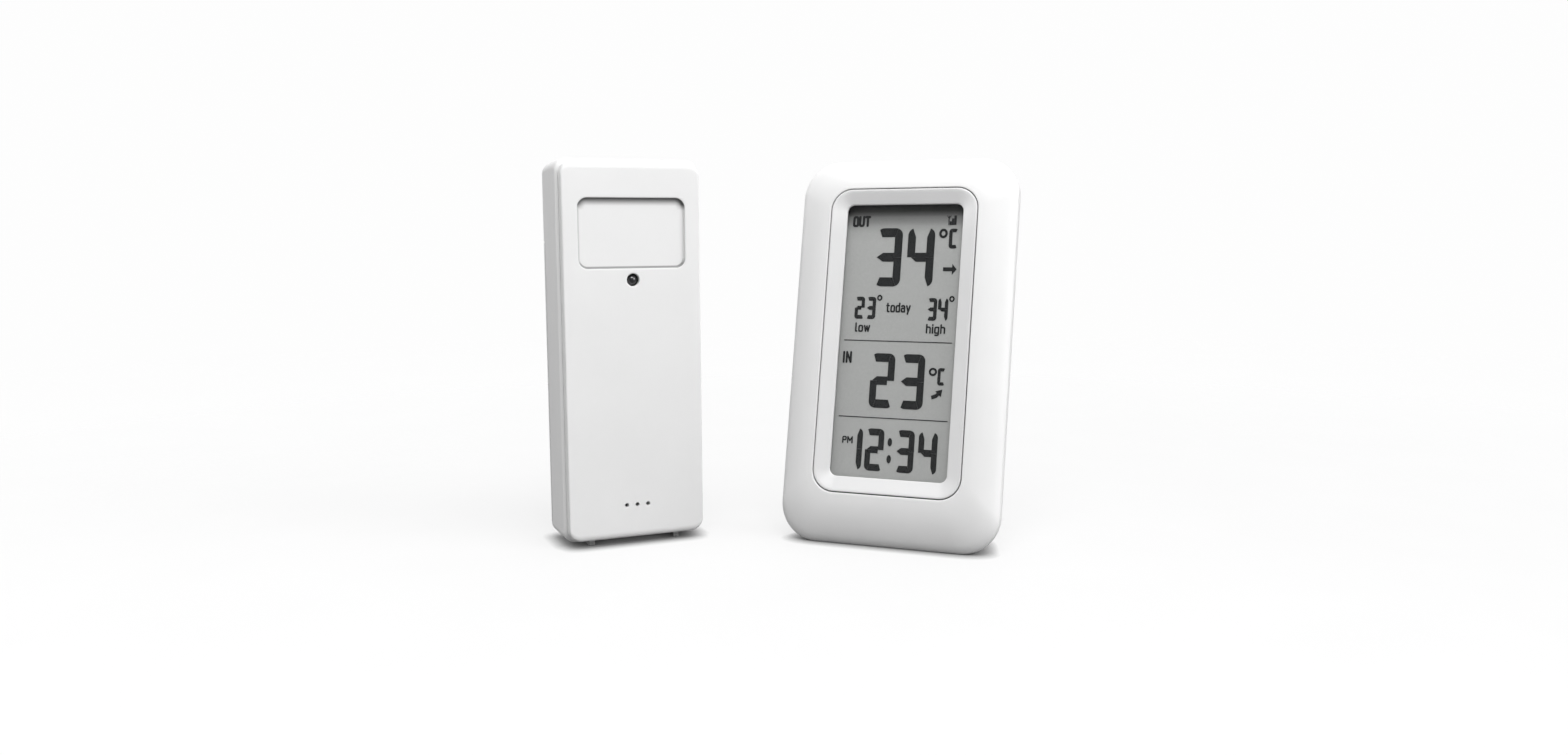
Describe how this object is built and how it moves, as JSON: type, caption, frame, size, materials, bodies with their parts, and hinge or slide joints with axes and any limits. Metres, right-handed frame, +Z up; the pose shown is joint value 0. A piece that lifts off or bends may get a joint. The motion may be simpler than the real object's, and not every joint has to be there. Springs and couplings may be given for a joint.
{
  "type": "maximum minimum thermometer",
  "caption": "Greenhouse maximum-minimum thermometer set: a leaning indoor display station with a fold-out rear leg and a free-standing outdoor sensor, both battery powered.",
  "frame": {"origin": "centre of the display station's foot, on the table plane", "axes": "+Z up; the display faces -Y and leans back; the outdoor sensor stands on the -X side, turned towards +X"},
  "size_m": [0.1228, 0.0771, 0.1045],
  "materials": {
    "white_shell": "fine moulded satin",
    "bezel_grey": "smooth satin",
    "clear_lens": "clear polished acrylic",
    "lcd": "reflective grey liquid-crystal glass",
    "elastomer": "matt",
    "circuit_board": "solder mask",
    "steel": "nickel plated",
    "dark_plastic": "moulded",
    "cell_wrap": "plain printed sleeve",
    "copper_wire": "enamelled copper",
    "button_grey": "satin",
    "led_lens": "clear epoxy over dark die"
  },
  "bodies": {
    "display_case": {"front_frame": "white_shell", "bezel_ring": "bezel_grey", "window_lens": "clear_lens", "lcd_glass": "lcd", "lcd_backplate": "white_shell", "lcd_connector_strip": "elastomer", "display_board": "circuit_board", "rear_cover": "white_shell", "case_screw_1": "steel", "case_screw_2": "steel", "case_screw_3": "steel", "case_screw_4": "steel", "tact_switch_1": "dark_plastic", "tact_switch_2": "dark_plastic", "tact_switch_3": "dark_plastic", "display_cell_1": "cell_wrap", "display_cell_2": "cell_wrap", "display_spring_1": "steel", "display_spring_2": "steel", "display_contact_minus": "steel", "display_contact_plus": "steel", "display_contact_bridge": "steel", "indoor_thermistor": "dark_plastic", "receiver_antenna": "copper_wire"},
    "leg": {"stand_leg": "white_shell"},
    "display_door": {"battery_door": "white_shell"},
    "set_button": {"button_set": "button_grey"},
    "recall_button": {"button_recall": "button_grey"},
    "reset_button": {"button_reset": "button_grey"},
    "sensor_case": {"sensor_front_cover": "white_shell", "sensor_rear_shell": "white_shell", "sensor_screw_1": "steel", "sensor_screw_2": "steel", "sensor_indicator": "led_lens", "sensor_board": "circuit_board", "sensor_transmitter": "dark_plastic", "sensor_antenna": "copper_wire", "sensor_thermistor": "dark_plastic", "sensor_cell_1": "cell_wrap", "sensor_cell_2": "cell_wrap", "sensor_spring_1": "steel", "sensor_spring_2": "steel", "sensor_contact_minus": "steel", "sensor_contact_plus": "steel", "sensor_contact_bridge": "steel"},
    "sensor_door": {"sensor_battery_door": "white_shell"}
  },
  "joints": [
    {"name": "leg_hinge", "type": "hinge", "parent": "display_case", "child": "leg", "pos_m": [0, 0.03003, 0.06639], "axis": [1, 0, 0], "range_deg": [-22.4, 0]},
    {"name": "display_door_hinge", "type": "hinge", "parent": "display_case", "child": "display_door", "pos_m": [0, 0.01752, 0.00884], "axis": [-1, 0, 0], "range_deg": [0, 70]},
    {"name": "set_button_press", "type": "slide", "parent": "display_case", "child": "set_button", "axis": [0, -0.9765, 0.2157], "range_m": [0, 0.0008], "stiffness_N_per_m": 150, "springref_m": -0.0005},
    {"name": "recall_button_press", "type": "slide", "parent": "display_case", "child": "recall_button", "axis": [0, -0.9765, 0.2157], "range_m": [0, 0.0008], "stiffness_N_per_m": 150, "springref_m": -0.0005},
    {"name": "reset_button_press", "type": "slide", "parent": "display_case", "child": "reset_button", "axis": [0, -0.9765, 0.2157], "range_m": [0, 0.0008], "stiffness_N_per_m": 150, "springref_m": -0.0005},
    {"name": "sensor_standoff", "type": "slide", "parent": "display_case", "child": "sensor_case", "axis": [-1, 0, 0], "range_m": [0, 0.1]},
    {"name": "sensor_door_hinge", "type": "hinge", "parent": "sensor_case", "child": "sensor_door", "pos_m": [-0.07891, -0.00668, 0.004], "axis": [-0.7045, -0.7097, 0], "range_deg": [0, 70]}
  ]
}
